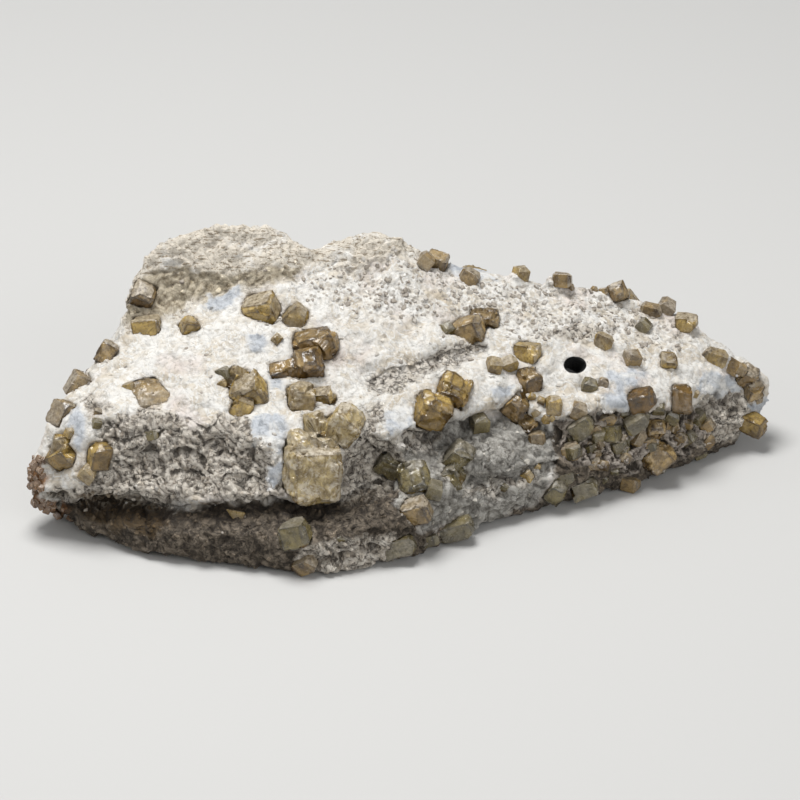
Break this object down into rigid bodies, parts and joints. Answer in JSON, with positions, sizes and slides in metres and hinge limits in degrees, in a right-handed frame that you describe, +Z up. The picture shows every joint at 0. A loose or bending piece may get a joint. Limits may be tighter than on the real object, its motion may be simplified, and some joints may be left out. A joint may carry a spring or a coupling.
{
  "type": "vesuvianite mineral specimen",
  "caption": "Wedge-shaped block of white calcite skarn, sawn flat below, set with honey-brown, square vesuvianite crystals single and in clusters.",
  "frame": {"origin": "middle of the bounding box, on the flat underside", "axes": "+X along the block from its blunt end to its pointed tip, +Y to the high back, +Z up as it rests"},
  "size_m": [0.1814, 0.0982, 0.0607],
  "materials": {
    "skarn": "matte broken rock: white calcite skarn with beige and grey parts",
    "honey_vesuvianite": "resinous honey-brown crystal, translucent at its edges",
    "brown_vesuvianite": "resinous dark brown crystal",
    "olive_vesuvianite": "resinous olive-brown crystal",
    "pale_vesuvianite": "large tan crystal, its faces dulled and coated with pale matrix"
  },
  "bodies": {
    "root": {"cluster_08": "honey_vesuvianite", "cluster_11": "honey_vesuvianite", "cluster_13": "brown_vesuvianite", "cluster_14": "honey_vesuvianite", "cluster_15": "pale_vesuvianite", "cluster_16": "brown_vesuvianite", "cluster_17": "honey_vesuvianite", "cluster_19": "brown_vesuvianite", "cluster_26": "brown_vesuvianite", "cluster_28": "olive_vesuvianite", "cluster_29": "olive_vesuvianite", "cluster_36": "brown_vesuvianite", "crystal_01": "honey_vesuvianite", "crystal_02": "honey_vesuvianite", "crystal_03": "brown_vesuvianite", "crystal_04": "brown_vesuvianite", "crystal_05": "honey_vesuvianite", "crystal_06": "honey_vesuvianite", "crystal_07": "brown_vesuvianite", "crystal_09": "brown_vesuvianite", "crystal_10": "brown_vesuvianite", "crystal_12": "honey_vesuvianite", "crystal_18": "honey_vesuvianite", "crystal_20": "honey_vesuvianite", "crystal_21": "brown_vesuvianite", "crystal_22": "honey_vesuvianite", "crystal_23": "brown_vesuvianite", "crystal_24": "brown_vesuvianite", "crystal_25": "honey_vesuvianite", "crystal_27": "honey_vesuvianite", "crystal_30": "brown_vesuvianite", "crystal_31": "olive_vesuvianite", "crystal_32": "olive_vesuvianite", "crystal_33": "olive_vesuvianite", "crystal_34": "olive_vesuvianite", "crystal_35": "olive_vesuvianite", "crystal_37": "olive_vesuvianite", "crystal_38": "olive_vesuvianite", "crystal_39": "honey_vesuvianite", "crystal_40": "brown_vesuvianite", "crystal_41": "honey_vesuvianite", "crystal_42": "honey_vesuvianite", "crystal_43": "brown_vesuvianite", "crystal_44": "honey_vesuvianite", "crystal_45": "brown_vesuvianite", "crystal_46": "brown_vesuvianite", "matrix": "skarn"}
  },
  "joints": []
}
